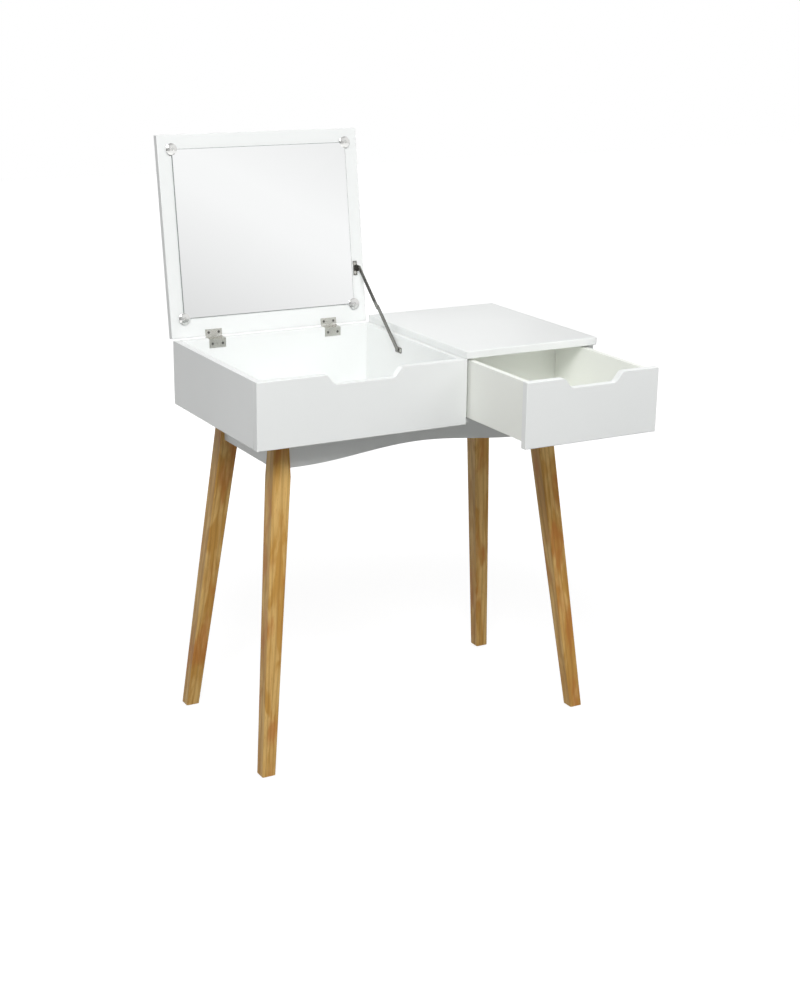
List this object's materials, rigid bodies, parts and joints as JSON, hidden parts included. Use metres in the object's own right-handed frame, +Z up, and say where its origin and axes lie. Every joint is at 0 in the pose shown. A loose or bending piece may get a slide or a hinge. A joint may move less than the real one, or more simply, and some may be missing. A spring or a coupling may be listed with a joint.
{
  "type": "flip top vanity table",
  "caption": "White dressing table on splayed tapered wood legs, with a mirrored flip lid over an open compartment and a drawer under a fixed top, both with finger notches.",
  "frame": {"origin": "on the floor, at the middle of the footprint of the table as pictured, with its lid open and its drawer out", "axes": "+Z up; +X to the right of a person who sits at the table, towards the drawer; +Y away from that person, towards the wall; the drawer opens along -Y"},
  "size_m": [0.75, 0.6796, 1.1824],
  "materials": {
    "white_lacquer": "satin white lacquer on fibreboard",
    "leg_wood": "clear satin lacquer on light hardwood",
    "mirror_glass": "silvered float glass",
    "chrome": "polished",
    "nickel": "nickel plated, satin",
    "zinc_steel": "bright zinc plated",
    "nylon": "natural nylon",
    "dowel_beech": "bare beech"
  },
  "bodies": {
    "table": {"left_side_panel": "white_lacquer", "right_side_panel": "white_lacquer", "partition": "white_lacquer", "back_panel": "white_lacquer", "compartment_front": "white_lacquer", "bottom_board": "white_lacquer", "fixed_top": "white_lacquer", "front_apron": "white_lacquer", "rear_apron": "white_lacquer", "left_apron": "white_lacquer", "right_apron": "white_lacquer", "leg_front_left": "leg_wood", "leg_front_right": "leg_wood", "leg_rear_left": "leg_wood", "leg_rear_right": "leg_wood", "foot_glides": "nylon", "corner_plates": "zinc_steel", "corner_plate_screws": "zinc_steel", "hanger_bolts": "zinc_steel", "bolt_nuts": "zinc_steel", "apron_brackets": "zinc_steel", "apron_bracket_screws": "zinc_steel", "case_dowels": "dowel_beech", "drawer_rail": "zinc_steel", "drawer_rail_screws": "zinc_steel", "drawer_glide_pads": "nylon", "hinge_fixed_leaf_left": "nickel", "hinge_fixed_leaf_right": "nickel", "hinge_pins": "nickel", "hinge_screws_cabinet": "nickel", "stay_base_plate": "nickel", "stay_base_rivet": "nickel", "stay_base_screws": "nickel"},
    "lid": {"lid_panel": "white_lacquer", "mirror_glass": "mirror_glass", "mirror_clips": "chrome", "mirror_clip_screws": "chrome", "hinge_lid_leaf_left": "nickel", "hinge_lid_leaf_right": "nickel", "hinge_screws_lid": "nickel", "stay_lid_bracket": "nickel", "stay_lid_rivet": "nickel", "stay_lid_screws": "nickel"},
    "stay_lower": {"stay_lower_link": "nickel"},
    "stay_upper": {"stay_upper_link": "nickel"},
    "drawer": {"drawer_front": "white_lacquer", "drawer_side_left": "white_lacquer", "drawer_side_right": "white_lacquer", "drawer_back": "white_lacquer", "drawer_bottom": "white_lacquer", "drawer_guide_shoe": "nylon", "drawer_shoe_screws": "zinc_steel", "drawer_dowels": "dowel_beech"}
  },
  "joints": [
    {"name": "lid_hinge", "type": "hinge", "parent": "table", "child": "lid", "pos_m": [-0.15525, 0.26778, 0.784], "axis": [1, 0, 0], "range_deg": [0, 98]},
    {"name": "stay_lower_pivot", "type": "hinge", "parent": "table", "child": "stay_lower", "pos_m": [0.05185, 0.11118, 0.756], "axis": [1, 0, 0], "range_deg": [-87.1, 0.5]},
    {"name": "stay_upper_pivot", "type": "hinge", "parent": "lid", "child": "stay_upper", "pos_m": [0.05005, 0.27512, 0.8987], "axis": [1, 0, 0], "range_deg": [-29.4, 0.5]},
    {"name": "drawer_slide", "type": "slide", "parent": "table", "child": "drawer", "axis": [0, -1, 0], "range_m": [-0.205, 0.02]}
  ],
  "couplings": [
    {"joint": "stay_lower_pivot", "follows": "lid_hinge", "ratio": -0.87862},
    {"joint": "stay_upper_pivot", "follows": "lid_hinge", "ratio": -0.28994}
  ]
}
